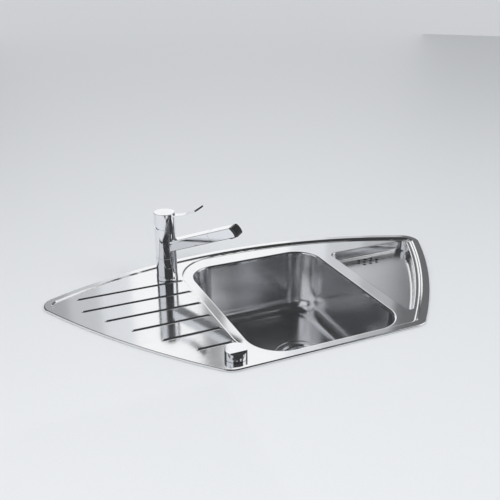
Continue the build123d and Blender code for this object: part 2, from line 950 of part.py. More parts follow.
def overflow_pipe():
    reach = socket_end - pipe_entry
    turn = radians(inlet_heading)
    end = (waste[0] + reach * cos(turn), waste[1] + reach * sin(turn), inlet_z)
    start = (*cup, tray_socket_low_z + pipe_entry)
    path = FilletPolyline(start, (*cup, inlet_z), end, radius=pipe_bend_radius)
    wall = Circle(pipe_diameter / 2) - Circle(pipe_diameter / 2 - pipe_wall)
    return sweep(Plane(origin=start, z_dir=(0, 0, -1)) * wall, path=path)


def compression_nut():
    """Nut along +Z whose lower end closes on the pipe; the socket's end is at z = 0."""
    nut = extrude(RegularPolygon(pipe_nut_diameter / 2, pipe_nut_ribs), pipe_nut_height)
    nut = Pos(0, 0, -pipe_nut_lip) * nut
    nut -= disc(pipe_diameter / 2, -pipe_nut_height, past)
    return nut - disc(socket_radius, 0, pipe_nut_height)


def pipe_nuts():
    upper = Pos(*cup, tray_socket_low_z) * compression_nut()
    at_socket = Pos(*waste, inlet_z) * Rot(0, 0, inlet_heading) * Pos(socket_end, 0, 0)
    lower = at_socket * Rot(0, -90, 0) * compression_nut()
    return Compound(children=[upper, lower])


# Waste control knob
knob_top_z = drainer_z + knob_height
housing_top_z = drainer_z + knob_seal_thickness + housing_flange
housing_low_z = housing_top_z - housing_length
housing_bore = housing_tube_diameter / 2 - housing_tube_wall
housing_deck_z = housing_top_z - housing_deck
housing_cap_z = housing_low_z + housing_cap_thickness
cable_drum_z = housing_cap_z + cable_drum_gap
knob_gland_z = cable_drum_z + cable_drum_height / 2


def knob_seal():
    low = drainer_z
    return ring(housing_flange_diameter / 2, deck_hole_diameter / 2, low, low + knob_seal_thickness, knob)


def knob_gland_rod(radius, start, end):
    rod = Pos((start + end) / 2, 0, knob_gland_z) * Rot(0, 90, 0) * Cylinder(radius, end - start)
    return Pos(*knob, 0) * Rot(0, 0, knob_gland_heading) * rod


def knob_housing():
    tube = housing_tube_diameter / 2
    body = disc(housing_flange_diameter / 2, housing_top_z - housing_flange, housing_top_z, knob)
    body += disc(tube, housing_low_z, housing_top_z, knob)
    body -= disc(spindle_diameter / 2 + running_gap, housing_low_z, housing_top_z + past, knob)
    body -= disc(housing_bore, housing_low_z - past, housing_deck_z, knob)
    return body - knob_gland_rod(gland_diameter / 2, 0, 2 * tube)


def housing_cap():
    return disc(housing_bore, housing_low_z, housing_cap_z, knob)


def knob_cable_gland():
    end = housing_tube_diameter / 2 + knob_gland_reach
    gland = knob_gland_rod(gland_diameter / 2, housing_bore + housing_tube_wall / 5, end)
    return gland - knob_gland_rod(gland_bore / 2, 0, end + past)


def housing_nut():
    across = Pos(*knob) * RegularPolygon(housing_nut_diameter / 2, 6, major_radius=True)
    nut = prism(across, deck_under_z - housing_nut_height, deck_under_z)
    return nut - disc(housing_tube_diameter / 2, housing_low_z, deck_under_z + past, knob)


def waste_knob():
    low = drainer_z + knob_gap
    radius = knob_diameter / 2
    body = disc(radius, low, knob_top_z, knob)
    body -= disc(radius - knob_wall, low - past, knob_top_z - knob_top, knob)
    hub_low = housing_top_z + seat_clearance
    body += disc(knob_hub_diameter / 2, hub_low, knob_top_z - knob_top, knob)
    body -= disc(spindle_diameter / 2, hub_low - past, hub_low + knob_hub_depth, knob)
    # A flat steps down from the top and runs off to the front.
    fall = knob_flat_drop / (radius - knob_flat_chord)
    front = -radius - past
    flat_z = knob_top_z - knob_flat_step
    wedge = make_face(
        Polyline(
            (-knob_flat_chord, flat_z),
            (front, flat_z + fall * (front + knob_flat_chord)),
            (front, knob_top_z + past),
            (-knob_flat_chord, knob_top_z + past),
            close=True,
        )
    )
    body -= Pos(*knob, 0) * extrude(Plane.YZ * wedge, knob_diameter, both=True)
    slit_turn = 180 + degrees(asin(knob_flat_chord / radius))
    slit = Box(2 * knob_slit_depth, knob_slit_width, knob_slit_length)
    slit = Pos(radius, 0, knob_top_z - knob_slit_length / 2) * slit
    return body - Pos(*knob, 0) * Rot(0, 0, slit_turn) * slit


def knob_spindle():
    top = housing_top_z + seat_clearance + knob_hub_depth
    shaft = disc(spindle_diameter / 2, housing_cap_z + past, top, knob)
    return shaft + disc(cable_drum_diameter / 2, cable_drum_z, cable_drum_z + cable_drum_height, knob)


def spindle_clip():
    high = housing_deck_z - running_gap
    low = high - spindle_clip_thickness
    return ring(spindle_clip_diameter / 2, spindle_diameter / 2, low, high, knob)


# Tap, standing parts
tap_radius = tap_diameter / 2
column_radius = column_diameter / 2
tap_seal_top_z = drainer_z + tap_seal_thickness
tap_base_top_z = tap_seal_top_z + tap_base_height
cartridge_radius = cartridge_diameter / 2
shank_radius = shank_diameter / 2
shank_top_z = tap_base_top_z + shank_grip
shank_low_z = deck_under_z - shank_length
column_top_z = cap_seam_z - seam_gap
cartridge_top_z = cartridge_floor_z + cartridge_height
nut_top_z = cartridge_top_z + cartridge_nut_height


def tap_seal():
    return ring(tap_base_diameter / 2 - tap_seal_inset, shank_radius, drainer_z, tap_seal_top_z, tap)


def tap_base_ring():
    body = disc(tap_base_diameter / 2, tap_seal_top_z, tap_base_top_z, tap)
    body = fillet(edges_at(body, tap_base_top_z, Pos(*tap) * Circle(tap_radius)), tap_base_edge_radius)
    return body - disc(shank_radius, tap_seal_top_z - past, tap_base_top_z + past, tap)


def spout_frame():
    """Local +X runs outwards along the spout's axis."""
    return Pos(*tap, spout_axis_z) * Rot(0, 0, spout_azimuth) * Rot(0, -spout_rise, 0)


def along_spout(radius, start, end):
    return spout_frame() * Pos((start + end) / 2, 0, 0) * Rot(0, 90, 0) * Cylinder(radius, end - start)


def tap_body():
    """Lower body and the column inside the spout, with a window for the hose."""
    body = disc(tap_radius, tap_base_top_z, swivel_seam_z - seam_gap / 2, tap)
    body += disc(column_radius, tap_base_top_z, column_top_z, tap)
    body -= disc(shank_radius, tap_base_top_z - past, shank_top_z, tap)
    body -= disc(column_bore / 2, shank_top_z, cartridge_floor_z - body_floor, tap)
    body -= disc(cartridge_radius, cartridge_floor_z, column_top_z + past, tap)
    hose_z = spout_axis_z + column_radius * tan(radians(spout_rise))
    sweep_half = spout_swing + degrees(asin((hose_diameter + past) / column_bore))
    far = 2 * column_radius
    turns = [radians(sweep_half * share) for share in (-1, -0.5, 0, 0.5, 1)]
    sector = make_face(Polyline((0, 0), *[(far * cos(turn), far * sin(turn)) for turn in turns], close=True))
    window = prism(sector, hose_z - window_height / 2, cartridge_floor_z - body_floor)
    return body - Pos(*tap, 0) * Rot(0, 0, spout_azimuth) * window


def inlet_points():
    return [(tap[0] + side * inlet_spread, tap[1] + inlet_offset) for side in (-1, 1)]


def tap_shank():
    body = disc(shank_radius, shank_low_z, shank_top_z, tap)
    holes = [(at, inlet_bore / 2) for at in inlet_points()]
    holes.append(((tap[0], tap[1] - hose_bore_offset), hose_bore / 2))
    for at, radius in holes:
        body -= disc(radius, shank_low_z - past, shank_top_z + past, at)
    return body


def inlet_sockets():
    """Threaded sockets under the shank that take the hot and the cold supply hose."""
    low = shank_low_z - inlet_depth
    outer = inlet_socket_diameter / 2
    sockets = [ring(outer, inlet_thread / 2, low, shank_low_z, at) for at in inlet_points()]
    return Compound(children=sockets)


def stabiliser():
    half = stabiliser_length / 2
    plan = make_face(
        Polyline(
            (-stabiliser_back / 2, half),
            (-stabiliser_front / 2, -half),
            (stabiliser_front / 2, -half),
            (stabiliser_back / 2, half),
            close=True,
        )
    )
    plan = fillet(plan.vertices(), stabiliser_corner_radius)
    low = deck_under_z - stabiliser_thickness
    plate = Pos(*tap, 0) * prism(plan, low, deck_under_z)
    # A relief clears the underside of the last groove.
    plate -= groove_form(*grooves[-1], sheet + stabiliser_relief)
    return plate - disc(shank_radius, low - past, deck_under_z + past, tap)


def tap_washer():
    high = deck_under_z - stabiliser_thickness
    return ring(tap_washer_diameter / 2, shank_radius, high - tap_washer_thickness, high, tap)


def tap_nut():
    high = deck_under_z - stabiliser_thickness - tap_washer_thickness
    across = Pos(*tap) * RegularPolygon(tap_nut_across / 2, 6, major_radius=False)
    return prism(across, high - tap_nut_height, high) - disc(shank_radius, shank_low_z, high + past, tap)


def cartridge_body():
    return disc(cartridge_radius, cartridge_floor_z, cartridge_top_z, tap)


def cartridge_nut():
    return ring(cartridge_radius, cartridge_nut_bore / 2, cartridge_top_z, nut_top_z, tap)


# Tap, spout
spout_bore = column_radius + ring_thickness
stem_radius = stem_diameter / 2
bush_radius = stem_radius + running_gap + bush_wall


def lower_slide_ring():
    low = swivel_seam_z - seam_gap / 2
    return ring(tap_radius - slide_ring_inset, column_radius, low, low + seam_gap - running_gap, tap)


def upper_slide_ring():
    high = column_top_z - slide_ring_drop
    return ring(spout_bore - running_gap, column_radius, high - slide_ring_height, high, tap)


def spout_section():
    return RectangleRounded(spout_height, spout_width, spout_edge_radius)


def spout_bar(start, end):
    bar = Pos(start, 0, 0) * Rot(0, 90, 0) * extrude(spout_section(), end - start)
    return spout_frame() * bar


def spout_body():
    body = disc(tap_radius, swivel_seam_z + seam_gap / 2, cap_seam_z - seam_gap / 4, tap)
    body += spout_bar(tap_radius / 2, spout_seam - seam_gap / 4)
    body -= disc(spout_bore, swivel_seam_z, cap_seam_z + past, tap)
    return body - along_spout(bush_radius, tap_radius / 3, spout_seam + past)


def spout_bush():
    end = spout_seam - seam_gap / 4
    start = end - bush_length
    bush = along_spout(bush_radius, start, end)
    return bush - along_spout(stem_radius + running_gap, start - past, end + past)


def nose_curve(shift):
    """Front of the chrome head, drawn on the spout's side, moved outwards by shift."""
    half = spout_height / 2
    top = (nose_top + shift, half)
    bottom = (nose_bottom + shift, -half)
    return top, ((top[0] + bottom[0]) / 2 + nose_bow, 0), bottom


def head_slab(back_top, back_bottom, shift):
    top, middle, bottom = nose_curve(shift)
    front = ThreePointArc(top, middle, bottom)
    back = Line(back_bottom, back_top)
    face = make_face(Curve() + [Line(back_top, top), front, Line(bottom, back_bottom), back])
    return spout_frame() * extrude(Plane.XZ * face, spout_width, both=True)


def head_blank(start, shift):
    half = spout_height / 2
    slab = head_slab((start, half), (start, -half), shift)
    return slab & spout_bar(start, nose_bottom + shift + 2 * nose_bow)


def aerator_rod(radius, high, low):
    """Rod square to the spout's underside; heights are from the spout's axis."""
    rod = Pos(aerator_along, 0, (high + low) / 2) * Cylinder(radius, high - low)
    return spout_frame() * rod


def spray_head():
    start = spout_seam + seam_gap / 4
    head = head_blank(start, 0)
    under = -spout_height / 2
    head -= aerator_rod(aerator_diameter / 2, under + aerator_depth, under - past)
    head -= aerator_rod(water_way / 2, 0, under)
    return head - along_spout(water_way / 2, start - past, aerator_along)


def spray_nose():
    start = nose_top - spout_height
    behind = start - spout_height
    nose = head_blank(start, nose_thickness)
    return nose - head_slab((behind, spout_height), (behind, -spout_height), 0)


def aerator():
    under = -spout_height / 2
    body = aerator_rod(aerator_diameter / 2, under + aerator_depth, under - aerator_out)
    low = under - aerator_out
    return body - aerator_rod(aerator_bore / 2, low + aerator_recess, low - past)


def spray_stem():
    end = spout_seam + seam_gap / 4
    start = end - stem_length
    return along_spout(stem_radius, start, end) - along_spout(water_way / 2, start - past, end + past)


def spray_hose():
    end = spout_seam + seam_gap / 4 - stem_length
    outer = hose_diameter / 2
    inner = outer - hose_wall
    return along_spout(outer, hose_start, end) - along_spout(inner, hose_start - past, end + past)


# Tap, lever and cap
def at_pivot(shape):
    """Local +X points along the lever; the origin is the point that the lever tilts about."""
    return Pos(*tap, pivot_z) * Rot(0, 0, spout_azimuth) * shape


def cross_pin(radius, length):
    """Pin across the lever, on the axis that it tilts about."""
    return at_pivot(Rot(90, 0, 0) * Cylinder(radius, length))


def cartridge_carrier():
    low = cartridge_top_z + running_gap
    carrier = ring(carrier_diameter / 2, carrier_bore / 2, low, low + carrier_height, tap)
    return carrier - cross_pin(lever_pin_diameter / 2 + running_gap, carrier_diameter)


def dome_cover():
    ball = Sphere(dome_radius) - Sphere(dome_radius - dome_wall)
    low = column_top_z - pivot_z
    high = dome_top_z - pivot_z
    return at_pivot(ball & disc(tap_radius, low, high))


def lever_stem():
    stem = Sphere(ball_diameter / 2)
    stem += disc(neck_diameter / 2, 0, neck_top_z - pivot_z)
    return at_pivot(stem) + cross_pin(lever_pin_diameter / 2, lever_pin_length)


def lever_path():
    """Middle line of the blade on the cap's side plane, split where the black end starts."""
    slope = radians(lever_root_slope)
    start = (lever_root, lever_root_z - pivot_z)
    bend = (start[0] + lever_straight * cos(slope), start[1] + lever_straight * sin(slope))
    straight = Line(start, bend)
    plain_sweep = lever_sweep - lever_tip_sweep
    arc = JernArc(bend, straight % 1, lever_radius, plain_sweep)
    tip = JernArc(arc @ 1, arc % 1, lever_radius, lever_tip_sweep)
    return straight, arc, tip


def strap(edges, thickness, width):
    """Flat strap of even thickness along a plane line."""
    lines = []
    ends = []
    for side in (-thickness / 2, thickness / 2):
        rail = []
        for edge in edges:
            points = [edge @ at + (edge % at).rotate(Axis.Z, 90) * side for at in (0, 0.5, 1)]
            curved = (points[1] - (points[0] + points[2]) / 2).length > 1e-6
            lines.append(ThreePointArc(*points) if curved else Line(points[0], points[2]))
            rail += [points[0], points[2]]
        ends.append((rail[0], rail[-1]))
    for low, high in zip(*ends):
        lines.append(Line(low, high))
    face = make_face(Curve() + lines)
    return at_pivot(extrude(Plane.XZ * face, width / 2, both=True))


def lever_blade():
    straight, arc, tip = lever_path()
    return strap([straight, arc], lever_thickness, lever_width)


def lever_end():
    return strap([lever_path()[2]], lever_thickness + lever_tip_extra, lever_width + lever_tip_extra)


def side_cut(points):
    """Cut across the cap, from points on the lever's side plane."""
    return extrude(Plane.XZ * make_face(Polyline(*points, close=True)), 2 * tap_radius, both=True)


def lever_cap():
    low = cap_seam_z + seam_gap / 4 - pivot_z
    cap = disc(tap_radius, low, cap_top_z - pivot_z)
    cap = fillet([cap.edges().sort_by(Axis.Z)[-1]], cap_edge_radius)
    cap -= Sphere(dome_radius + cap_clearance)
    # The back is cut away and rounded, so the cap can roll back as the lever lifts.
    far = -2 * tap_radius
    rise = -far * tan(radians(lever_lift + cap_relief_play))
    start = cap_relief_start
    cap -= side_cut([(start, low), (far, low + rise), (far, low - past), (start, low - past)])
    heel_x = heel_radius - tap_radius
    heel_z = low + heel_radius
    corner = side_cut([(far, low - past), (heel_x, low - past), (heel_x, heel_z), (far, heel_z)])
    round_off = Pos(heel_x, 0, heel_z - heel_drop) * Rot(90, 0, 0) * Cylinder(heel_radius, 4 * tap_radius)
    cap = at_pivot(cap - (corner - round_off))
    return cap - lever_stem() - lever_blade() - set_screw_rod(tap_radius)


def set_screw_rod(length):
    """Rod from the neck to the back of the cap."""
    back = neck_diameter / 2
    rod = Pos(-back - length / 2, 0, set_screw_z - pivot_z) * Rot(0, 90, 0)
    return at_pivot(rod * Cylinder(set_screw_diameter / 2, length))


parts = {
    "sink_deck": sink_deck(),
    "rim_seal": rim_seal(),
    "main_bowl": main_bowl(),
    "side_tray": side_tray(),
    "fixing_brackets": around_rim(bracket()),
    "clamp_arms": around_rim(clamp_arm()),
    "clamp_screws": around_rim(clamp_screw()),
    "waste_flange": waste_flange(),
    "flange_seal": flange_seal(),
    "body_gasket": body_gasket(),
    "waste_body": waste_body(),
    "waste_outlet": waste_outlet(),
    "waste_screws": waste_screws(),
    "drive_box": drive_box(),
    "lift_lever": lift_lever(),
    "basket_plug": basket_plug(),
    "plug_seal": plug_seal(),
    "lift_pin": lift_pin(),
    "tray_cup_gasket": tray_cup_gasket(),
    "tray_cup": tray_cup(),
    "stud_nuts": stud_nuts(),
    "overflow_pipe": overflow_pipe(),
    "pipe_nuts": pipe_nuts(),
    "knob_seal": knob_seal(),
    "knob_housing": knob_housing(),
    "housing_cap": housing_cap(),
    "knob_cable_gland": knob_cable_gland(),
    "housing_nut": housing_nut(),
    "waste_knob": waste_knob(),
    "knob_spindle": knob_spindle(),
    "spindle_clip": spindle_clip(),
    "tap_seal": tap_seal(),
    "tap_base_ring": tap_base_ring(),
    "tap_body": tap_body(),
    "tap_shank": tap_shank(),
    "inlet_sockets": inlet_sockets(),
    "stabiliser": stabiliser(),
    "tap_washer": tap_washer(),
    "tap_nut": tap_nut(),
    "cartridge_body": cartridge_body(),
    "cartridge_nut": cartridge_nut(),
    "lower_slide_ring": lower_slide_ring(),
    "upper_slide_ring": upper_slide_ring(),
    "spout_body": spout_body(),
    "spout_bush": spout_bush(),
    "spray_head": spray_head(),
    "spray_nose": spray_nose(),
    "aerator": aerator(),
    "spray_stem": spray_stem(),
    "spray_hose": spray_hose(),
    "cartridge_carrier": cartridge_carrier(),
    "dome_cover": dome_cover(),
    "lever_stem": lever_stem(),
    "lever_blade": lever_blade(),
    "lever_end": lever_end(),
    "lever_cap": lever_cap(),
    "set_screw": set_screw_rod(set_screw_length),
}

os.makedirs("parts", exist_ok=True)
for name, shape in parts.items():
    export_step(shape, f"parts/{name}.step")
    print(name, round(shape.volume))
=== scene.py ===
import json
import math

import bmesh
import bpy
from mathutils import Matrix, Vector

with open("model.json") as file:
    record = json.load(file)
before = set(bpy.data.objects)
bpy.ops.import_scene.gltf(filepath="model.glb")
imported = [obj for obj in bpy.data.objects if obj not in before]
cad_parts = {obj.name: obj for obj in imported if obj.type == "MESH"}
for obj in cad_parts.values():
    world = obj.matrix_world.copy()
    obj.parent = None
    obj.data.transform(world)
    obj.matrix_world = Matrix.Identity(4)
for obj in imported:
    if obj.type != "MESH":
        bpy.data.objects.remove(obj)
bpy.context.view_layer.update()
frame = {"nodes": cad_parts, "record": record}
nodes = frame["nodes"]
scene = bpy.context.scene
print("frame loaded,", len(nodes), "parts")

# camera in front of the sink, to its left, looking down on it
eyeSetup = {
    "place": Vector((-0.59065, -0.94226, 0.65680)),
    "aim": Vector((0.37833, 0.84028, -0.38831)),
    "lens": 49.25,
    "sensor": 36,
    "near": 0.01,
    "far": 200,
}


def placeEye(setup):
    lens = bpy.data.cameras.new("sinkCamera")
    lens.lens = setup["lens"]
    lens.sensor_width = setup["sensor"]
    lens.clip_start = setup["near"]
    lens.clip_end = setup["far"]
    eye = bpy.data.objects.new("sinkCamera", lens)
    scene.collection.objects.link(eye)
    eye.location = setup["place"]
    eye.rotation_mode = "QUATERNION"
    eye.rotation_quaternion = setup["aim"].to_track_quat("-Z", "Y")
    scene.camera = eye


placeEye(eyeSetup)
scene.view_settings.view_transform = "Standard"
print("camera placed")


# small node helpers
def addNode(tree, kind, x, y, **settings):
    node = tree.nodes.new(kind)
    node.location = (x, y)
    for name, value in settings.items():
        setattr(node, name, value)
    return node


def setInputs(node, **values):
    for name, value in values.items():
        node.inputs[name.replace("_", " ")].default_value = value


def mathNode(tree, operation, x, y, first, second):
    node = addNode(tree, "ShaderNodeMath", x, y, operation=operation)
    for i, value in enumerate((first, second)):
        if isinstance(value, (int, float)):
            node.inputs[i].default_value = value
        else:
            tree.links.new(value, node.inputs[i])
    return node.outputs[0]


def startGroup(name, inputs, outputs):
    group = bpy.data.node_groups.new(name, "ShaderNodeTree")
    for label, kind, value in inputs:
        socket = group.interface.new_socket(label, in_out="INPUT", socket_type=kind)
        socket.default_value = value
    for label, kind in outputs:
        group.interface.new_socket(label, in_out="OUTPUT", socket_type=kind)
    start = addNode(group, "NodeGroupInput", -900, 0)
    end = addNode(group, "NodeGroupOutput", 700, 0)
    return group, start, end


# brushing: fine lines that run along X on flat sheet and round the walls of a bowl
def makeBrushing():
    group, start, end = startGroup(
        "brushing",
        [
            ("Length", "NodeSocketFloat", 12.0),
            ("Fineness", "NodeSocketFloat", 900.0),
            ("Roughness", "NodeSocketFloat", 0.25),
            ("Spread", "NodeSocketFloat", 0.1),
        ],
        [("Height", "NodeSocketFloat"), ("Roughness", "NodeSocketFloat")],
    )
    place = addNode(group, "ShaderNodeTexCoord", -900, 300)
    split = addNode(group, "ShaderNodeSeparateXYZ", -700, 300)
    group.links.new(place.outputs["Object"], split.inputs[0])
    lines = []
    for i, along in enumerate("XY"):
        join = addNode(group, "ShaderNodeCombineXYZ", -340, 300 - 300 * i)
        for axis in "XYZ":
            fine = start.outputs["Length" if axis == along else "Fineness"]
            scaled = mathNode(group, "MULTIPLY", -540, 300 - 300 * i, split.outputs[axis], fine)
            group.links.new(scaled, join.inputs[axis])
        noise = addNode(group, "ShaderNodeTexNoise", -160, 300 - 300 * i)
        setInputs(noise, Scale=1.0, Detail=2.0, Roughness=0.6)
        group.links.new(join.outputs[0], noise.inputs["Vector"])
        lines.append(noise.outputs["Fac"])
    facing = addNode(group, "ShaderNodeNewGeometry", -900, -300)
    faceSplit = addNode(group, "ShaderNodeSeparateXYZ", -700, -300)
    group.links.new(facing.outputs["Normal"], faceSplit.inputs[0])
    sideways = mathNode(group, "ABSOLUTE", -500, -400, faceSplit.outputs["X"], 0)
    pick = addNode(group, "ShaderNodeMix", 60, 100, data_type="FLOAT")
    group.links.new(sideways, pick.inputs[0])
    group.links.new(lines[0], pick.inputs[2])
    group.links.new(lines[1], pick.inputs[3])
    group.links.new(pick.outputs[0], end.inputs["Height"])
    centred = mathNode(group, "SUBTRACT", 240, -100, pick.outputs[0], 0.5)
    spread = mathNode(group, "MULTIPLY", 400, -100, centred, start.outputs["Spread"])
    total = mathNode(group, "ADD", 560, -100, spread, start.outputs["Roughness"])
    group.links.new(total, end.inputs["Roughness"])
    return group


# handling: soft patches left by fingers and dried water, broken up by finer ones
def makeHandling():
    fineRatio = 7.0
    group, start, end = startGroup(
        "handling",
        [("Scale", "NodeSocketFloat", 14.0), ("Cover", "NodeSocketFloat", 0.5)],
        [("Mask", "NodeSocketFloat")],
    )
    place = addNode(group, "ShaderNodeTexCoord", -900, 200)
    wide = addNode(group, "ShaderNodeTexNoise", -600, 200)
    setInputs(wide, Detail=3.0, Roughness=0.55, Distortion=0.4)
    fine = addNode(group, "ShaderNodeTexNoise", -600, -100)
    setInputs(fine, Detail=4.0, Roughness=0.7)
    group.links.new(place.outputs["Object"], wide.inputs["Vector"])
    group.links.new(place.outputs["Object"], fine.inputs["Vector"])
    group.links.new(start.outputs["Scale"], wide.inputs["Scale"])
    finer = mathNode(group, "MULTIPLY", -780, -100, start.outputs["Scale"], fineRatio)
    group.links.new(finer, fine.inputs["Scale"])
    both = mathNode(group, "MULTIPLY", -380, 100, wide.outputs["Fac"], fine.outputs["Fac"])
    limit = addNode(group, "ShaderNodeMapRange", -160, 100, interpolation_type="SMOOTHSTEP")
    setInputs(limit, From_Min=0.15, From_Max=0.42)
    group.links.new(both, limit.inputs["Value"])
    share = mathNode(group, "MULTIPLY", 60, 100, limit.outputs["Result"], start.outputs["Cover"])
    group.links.new(share, end.inputs["Mask"])
    return group


# moulding: the fine pebbled skin of a moulded part
def makeMoulding():
    group, start, end = startGroup(
        "moulding",
        [("Scale", "NodeSocketFloat", 1600.0)],
        [("Height", "NodeSocketFloat"), ("Shade", "NodeSocketFloat")],
    )
    place = addNode(group, "ShaderNodeTexCoord", -900, 200)
    pebble = addNode(group, "ShaderNodeTexVoronoi", -500, 200, feature="SMOOTH_F1")
    grain = addNode(group, "ShaderNodeTexNoise", -500, -100)
    setInputs(grain, Detail=3.0)
    for node in (pebble, grain):
        group.links.new(place.outputs["Object"], node.inputs["Vector"])
        group.links.new(start.outputs["Scale"], node.inputs["Scale"])
    height = mathNode(group, "ADD", -200, 100, pebble.outputs["Distance"], grain.outputs["Fac"])
    group.links.new(height, end.inputs["Height"])
    patch = addNode(group, "ShaderNodeTexNoise", -500, -400)
    setInputs(patch, Scale=60.0, Detail=4.0)
    group.links.new(place.outputs["Object"], patch.inputs["Vector"])
    group.links.new(patch.outputs["Fac"], end.inputs["Shade"])
    return group


brushing = makeBrushing()
handling = makeHandling()
moulding = makeMoulding()
print("shared finishes built")


def useGroup(tree, group, x, y, **values):
    node = addNode(tree, "ShaderNodeGroup", x, y, node_tree=group)
    setInputs(node, **values)
    return node


def startMaterial(name, **sockets):
    material = bpy.data.materials.new(name)
    material.use_nodes = True
    tree = material.node_tree
    tree.nodes.clear()
    out = addNode(tree, "ShaderNodeOutputMaterial", 500, 0)
    shader = addNode(tree, "ShaderNodeBsdfPrincipled", 200, 0)
    setInputs(shader, **sockets)
    tree.links.new(shader.outputs["BSDF"], out.inputs["Surface"])
    return material, tree, shader


def mixColours(tree, x, y, mask, first, second):
    mix = addNode(tree, "ShaderNodeMix", x, y, data_type="RGBA")
    mix.inputs[6].default_value = (*first, 1)
    mix.inputs[7].default_value = (*second, 1)
    tree.links.new(mask, mix.inputs[0])
    return mix.outputs[2]


def addBump(tree, shader, height, distance, strength=1.0):
    bump = addNode(tree, "ShaderNodeBump", 0, -300)
    setInputs(bump, Strength=strength, Distance=distance)
    tree.links.new(height, bump.inputs["Height"])
    tree.links.new(bump.outputs["Normal"], shader.inputs["Normal"])


def sheetSteel(name, look):
    material, tree, shader = startMaterial(name, Metallic=1.0)
    lines = useGroup(tree, brushing, -600, 0, Length=look["length"], Fineness=look["fineness"])
    setInputs(lines, Roughness=look["roughness"], Spread=look["spread"])
    marks = useGroup(tree, handling, -600, -250, Scale=look["markScale"], Cover=look["marks"])
    colour = mixColours(tree, -200, 200, marks.outputs["Mask"], look["colour"], look["markColour"])
    tree.links.new(colour, shader.inputs["Base Color"])
    dulled = mathNode(tree, "MULTIPLY", -380, -120, marks.outputs["Mask"], look["dulling"])
    rough = mathNode(tree, "ADD", -200, -60, lines.outputs["Roughness"], dulled)
    tree.links.new(rough, shader.inputs["Roughness"])
    addBump(tree, shader, lines.outputs["Height"], look["depth"])
    return material


deckLook = {
    "colour": (0.90, 0.905, 0.915),
    "markColour": (0.86, 0.87, 0.885),
    "marks": 0.5, "markScale": 9.0, "dulling": 0.04,
    "length": 14.0, "fineness": 1100.0, "depth": 0.000003,
    "roughness": 0.09, "spread": 0.04,
}
bowlLook = {
    "colour": (0.84, 0.845, 0.86),
    "markColour": (0.80, 0.805, 0.825),
    "marks": 0.5, "markScale": 7.0, "dulling": 0.03,
    "length": 10.0, "fineness": 1000.0, "depth": 0.000005,
    "roughness": 0.2, "spread": 0.05,
}
zincLook = {
    "colour": (0.60, 0.61, 0.62),
    "markColour": (0.45, 0.46, 0.47),
    "marks": 0.9, "markScale": 60.0, "dulling": 0.2,
    "length": 60.0, "fineness": 500.0, "depth": 0.00003,
    "roughness": 0.42, "spread": 0.12,
}
deckSteel = sheetSteel("deckSteel", deckLook)
bowlSteel = sheetSteel("bowlSteel", bowlLook)
zincSteel = sheetSteel("zincSteel", zincLook)

chromeLook = {
    "colour": (0.90, 0.91, 0.93),
    "haze": (0.84, 0.85, 0.88),
    "marks": 0.5, "markScale": 22.0, "dulling": 0.05,
    "roughness": 0.035,
}


def polishedChrome(look):
    material, tree, shader = startMaterial("polishedChrome", Metallic=1.0)
    marks = useGroup(tree, handling, -600, 0, Scale=look["markScale"], Cover=look["marks"])
    colour = mixColours(tree, -200, 200, marks.outputs["Mask"], look["colour"], look["haze"])
    tree.links.new(colour, shader.inputs["Base Color"])
    dulled = mathNode(tree, "MULTIPLY", -380, -120, marks.outputs["Mask"], look["dulling"])
    rough = mathNode(tree, "ADD", -200, -60, dulled, look["roughness"])
    tree.links.new(rough, shader.inputs["Roughness"])
    return material


chrome = polishedChrome(chromeLook)

# the wave texture runs through 20 radians in a unit of length at scale 1
waveRadians = 20


def waveScale(pitch):
    return math.tau / pitch / waveRadians


brassLook = {
    "colour": (0.72, 0.58, 0.33),
    "dark": (0.55, 0.42, 0.22),
    "marks": 0.9, "markScale": 60.0,
    "ringPitch": 0.00377, "depth": 0.00003,
    "roughness": 0.22, "spread": 0.15,
}


def turnedBrass(look):
    material, tree, shader = startMaterial("turnedBrass", Metallic=1.0)
    place = addNode(tree, "ShaderNodeTexCoord", -900, 0)
    rings = addNode(tree, "ShaderNodeTexWave", -600, 0, bands_direction="Z")
    setInputs(rings, Scale=waveScale(look["ringPitch"]), Distortion=0.6, Detail=2.0)
    tree.links.new(place.outputs["Object"], rings.inputs["Vector"])
    marks = useGroup(tree, handling, -600, -300, Scale=look["markScale"], Cover=look["marks"])
    colour = mixColours(tree, -200, 200, marks.outputs["Mask"], look["colour"], look["dark"])
    tree.links.new(colour, shader.inputs["Base Color"])
    spread = mathNode(tree, "MULTIPLY", -380, -120, rings.outputs["Fac"], look["spread"])
    rough = mathNode(tree, "ADD", -200, -60, spread, look["roughness"])
    tree.links.new(rough, shader.inputs["Roughness"])
    addBump(tree, shader, rings.outputs["Fac"], look["depth"])
    return material


brass = turnedBrass(brassLook)

# moulded plastic and rubber share one surface, whose roughness varies by mouldSpread in all
mouldSpread = 0.14
dustScale = 40.0


def mouldedPart(name, look):
    material, tree, shader = startMaterial(name, Coat_Weight=look["coat"], Coat_Roughness=0.2)
    skin = useGroup(tree, moulding, -600, 0, Scale=look["grain"])
    marks = useGroup(tree, handling, -600, -250, Scale=dustScale, Cover=look["dust"])
    shade = mixColours(tree, -360, 200, skin.outputs["Shade"], look["colour"], look["light"])
    dusted = addNode(tree, "ShaderNodeMix", -160, 200, data_type="RGBA")
    tree.links.new(marks.outputs["Mask"], dusted.inputs[0])
    tree.links.new(shade, dusted.inputs[6])
    dusted.inputs[7].default_value = (*look["dustColour"], 1)
    tree.links.new(dusted.outputs[2], shader.inputs["Base Color"])
    spread = mathNode(tree, "MULTIPLY", -360, -120, skin.outputs["Shade"], mouldSpread)
    rough = mathNode(tree, "ADD", -200, -60, spread, look["roughness"] - mouldSpread / 2)
    tree.links.new(rough, shader.inputs["Roughness"])
    addBump(tree, shader, skin.outputs["Height"], look["depth"])
    return material


